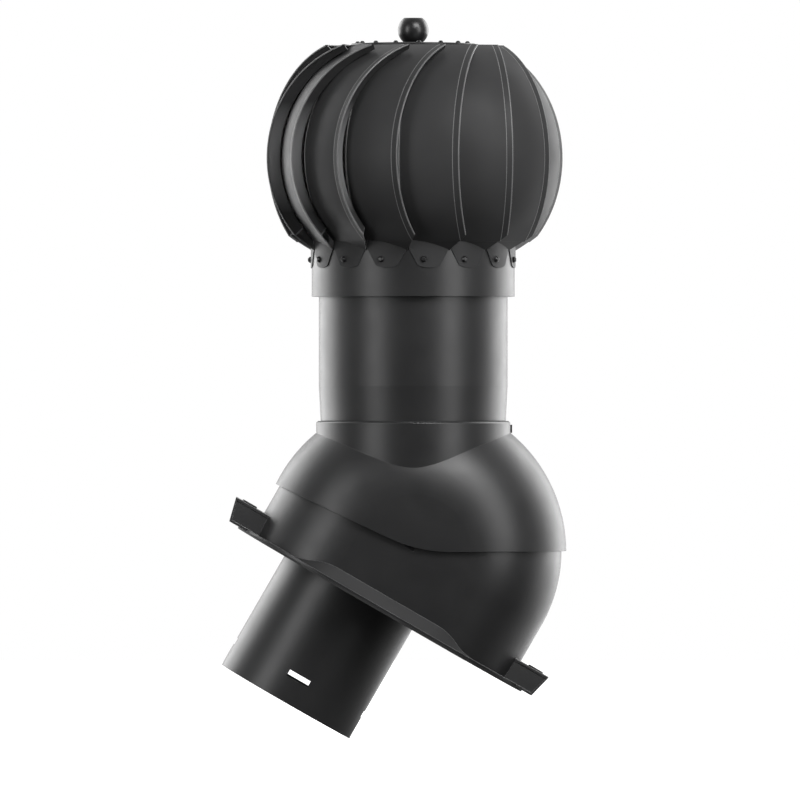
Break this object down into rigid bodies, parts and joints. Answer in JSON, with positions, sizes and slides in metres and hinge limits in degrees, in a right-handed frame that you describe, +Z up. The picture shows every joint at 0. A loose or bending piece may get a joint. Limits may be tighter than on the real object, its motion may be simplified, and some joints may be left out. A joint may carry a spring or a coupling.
{
  "type": "roof turbine ventilator",
  "caption": "Turning vaned head on an insulated riser, on a domed hood that tilts on an oval roof base with a duct spigot below.",
  "frame": {"origin": "on the spigot's axis, level with the underside of the roof gasket", "axes": "+Z up along the riser as it stands on a 30 degree roof, +X towards the eaves, +Y to the left of someone who looks up the roof from the eaves"},
  "size_m": [0.2919, 0.2517, 0.6101],
  "materials": {
    "black_paint": "satin black powder coat",
    "black_plastic": "satin black moulded plastic",
    "black_rubber": "matt black rubber",
    "bright_steel": "plain zinc plated steel",
    "grey_aluminium": "plain turned and pressed aluminium",
    "grey_foam": "grey insulating felt"
  },
  "bodies": {
    "base": {"base_dome": "black_plastic", "base_plate": "black_plastic", "plate_screws": "bright_steel", "roof_gasket": "black_rubber", "spigot_pipe": "black_plastic", "spigot_screws": "bright_steel", "dome_seal": "black_rubber", "tab_caps": "black_plastic", "flex_hose": "black_rubber"},
    "hood": {"hood_shell": "black_plastic", "neck_seal": "black_rubber", "riser_casing": "black_plastic", "riser_insulation": "grey_foam", "inner_duct": "grey_aluminium", "riser_top_ring": "black_plastic", "shaft_bracket": "grey_aluminium", "bracket_screws": "bright_steel", "rotor_shaft": "bright_steel", "shaft_nuts": "bright_steel", "shaft_washers": "bright_steel", "bearing_inner_lower": "bright_steel", "bearing_inner_upper": "bright_steel", "bearing_spacer": "grey_aluminium", "shaft_clip": "bright_steel"},
    "rotor": {"hub_disc": "black_paint", "hub_sleeve": "grey_aluminium", "sleeve_clips": "bright_steel", "bearing_outer_lower": "bright_steel", "bearing_outer_upper": "bright_steel", "ball_knob": "black_plastic", "knob_nut": "bright_steel", "collar_ring": "black_paint", "lower_rivets": "black_paint", "upper_rivets": "black_paint", "vane_01": "black_paint", "vane_02": "black_paint", "vane_03": "black_paint", "vane_04": "black_paint", "vane_05": "black_paint", "vane_06": "black_paint", "vane_07": "black_paint", "vane_08": "black_paint", "vane_09": "black_paint", "vane_10": "black_paint", "vane_11": "black_paint", "vane_12": "black_paint", "vane_13": "black_paint", "vane_14": "black_paint", "vane_15": "black_paint"}
  },
  "joints": [
    {"name": "hood_tilt", "type": "hinge", "parent": "base", "child": "hood", "pos_m": [0.05473, 0, 0.0348], "axis": [0, 1, 0], "range_deg": [-3, 15], "deforming": ["flex_hose"]},
    {"name": "rotor_spin", "type": "hinge", "parent": "hood", "child": "rotor", "pos_m": [0.05473, 0, 0.0348], "axis": [0, 0, 1], "continuous": true}
  ]
}
